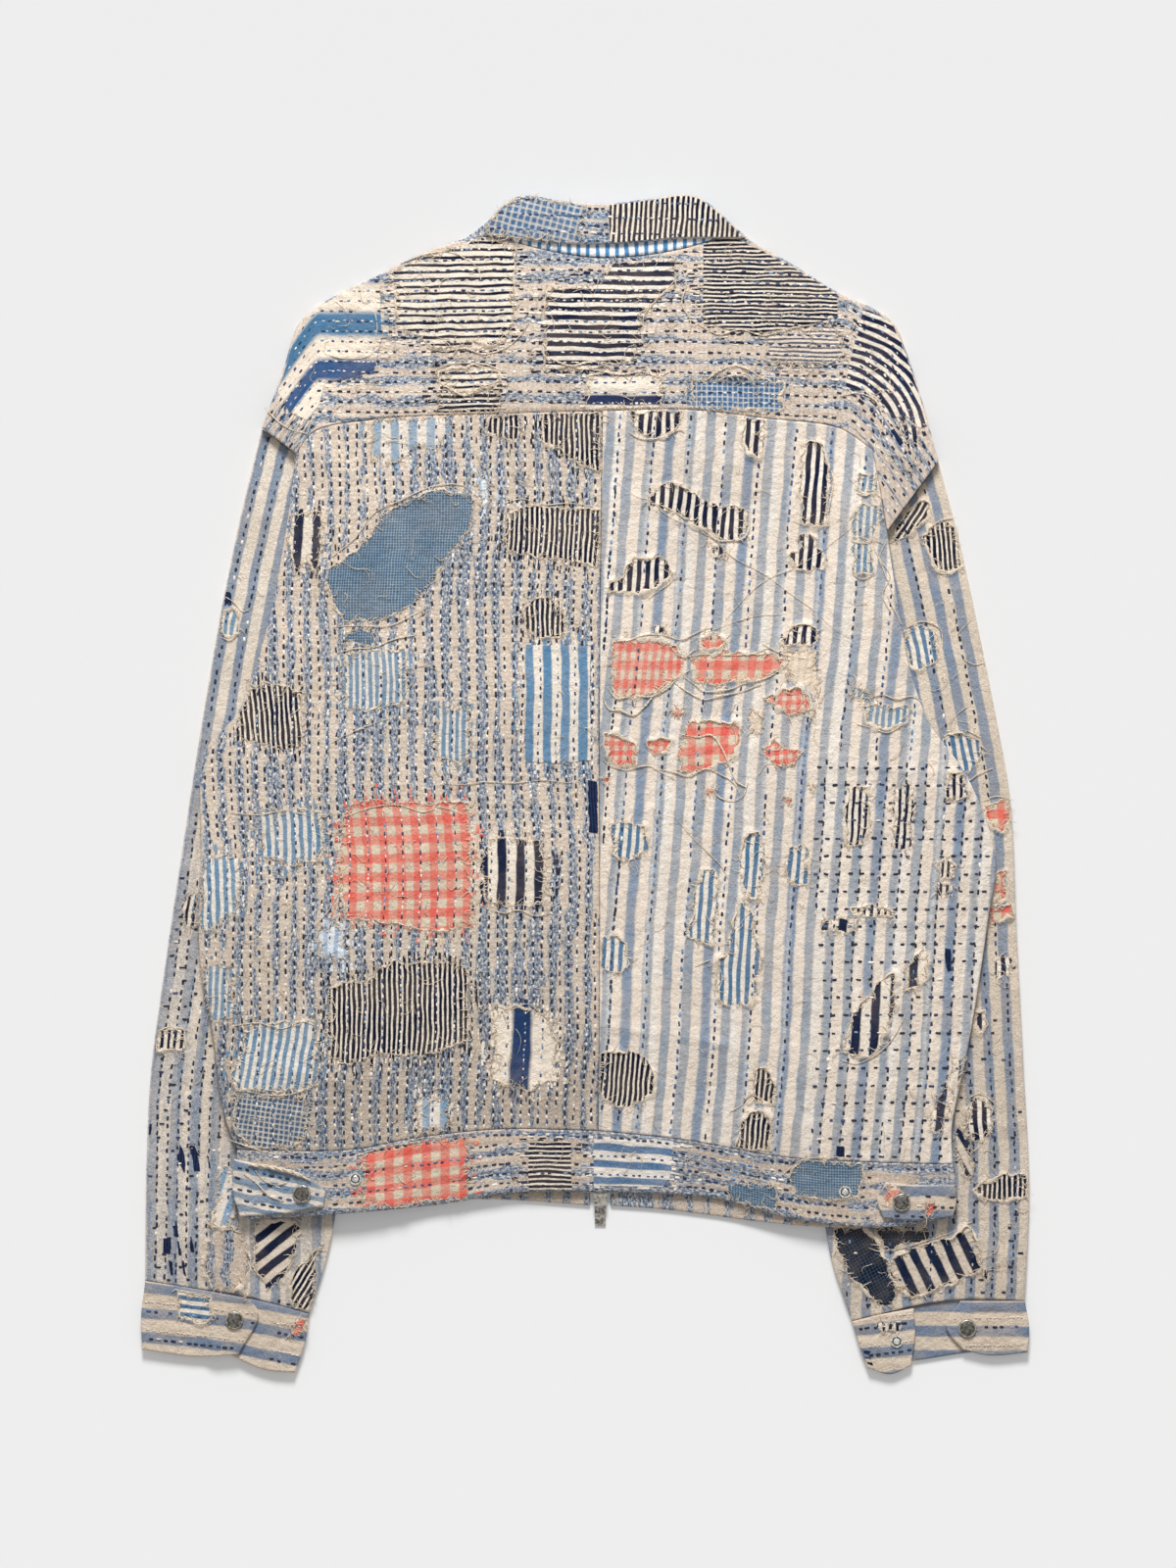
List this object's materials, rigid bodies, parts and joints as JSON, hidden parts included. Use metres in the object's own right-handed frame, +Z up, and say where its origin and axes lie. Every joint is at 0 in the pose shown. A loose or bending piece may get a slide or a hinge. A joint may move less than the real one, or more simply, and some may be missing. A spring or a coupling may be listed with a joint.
{
  "type": "patched boro jacket",
  "caption": "Quilted patchwork cotton jacket laid flat, back up, with turn-down collar, yoke, hem band with side tabs, snap cuffs and an open zip.",
  "frame": {"origin": "middle of the laid jacket's outline, on the surface it lies on", "axes": "+Z up out of the jacket's back, +Y along the centre-back seam towards the collar, +X towards the wearer's right"},
  "size_m": [0.6156, 0.8178, 0.0213],
  "materials": {
    "mended_cloth": "worn, darned and densely stitched cotton",
    "striped_cloth": "faded cream and grey-blue striped cotton with running stitches",
    "sleeve_cloth": "faded striped cotton with running stitches and torn holes",
    "cuff_cloth": "striped cotton, doubled",
    "collar_cloth": "checked and striped cotton, doubled",
    "zip_tape": "woven tape with metal teeth",
    "snap_cap": "dark gunmetal plate, worn",
    "snap_stud": "bright nickel plate",
    "zip_metal": "worn nickel plate"
  },
  "bodies": {
    "jacket": {"back_yoke": "mended_cloth", "back_panel_left": "mended_cloth", "back_band": "mended_cloth", "front_band_left": "mended_cloth", "front_band_right": "mended_cloth", "back_panel_right": "striped_cloth", "front_left": "striped_cloth", "front_right": "striped_cloth", "sleeve_left_upper": "sleeve_cloth", "sleeve_left_under": "sleeve_cloth", "sleeve_right_upper": "sleeve_cloth", "sleeve_right_under": "sleeve_cloth", "cuff_left_outer": "cuff_cloth", "cuff_left_inner": "cuff_cloth", "cuff_left_under": "cuff_cloth", "cuff_right_outer": "cuff_cloth", "cuff_right_inner": "cuff_cloth", "cuff_right_under": "cuff_cloth", "hem_tab_left": "cuff_cloth", "hem_tab_right": "cuff_cloth", "collar_stand": "collar_cloth", "collar_leaf": "collar_cloth", "collar_point_left": "collar_cloth", "collar_point_right": "collar_cloth", "zip_tape_left": "zip_tape", "zip_tape_right": "zip_tape", "hem_tab_left_snap": "snap_cap", "hem_tab_right_snap": "snap_cap", "cuff_left_snap": "snap_cap", "cuff_right_snap": "snap_cap", "hem_left_stud": "snap_stud", "hem_right_stud": "snap_stud", "cuff_right_stud": "snap_stud", "zip_slider": "zip_metal"},
    "pull_tab": {"zip_pull_tab": "zip_metal"}
  },
  "joints": [
    {"name": "zip_pull_swing", "type": "hinge", "parent": "jacket", "child": "pull_tab", "pos_m": [0.01048, -0.29052, 0.0016], "axis": [1, 0, 0], "range_deg": [-2.5, 176]}
  ]
}
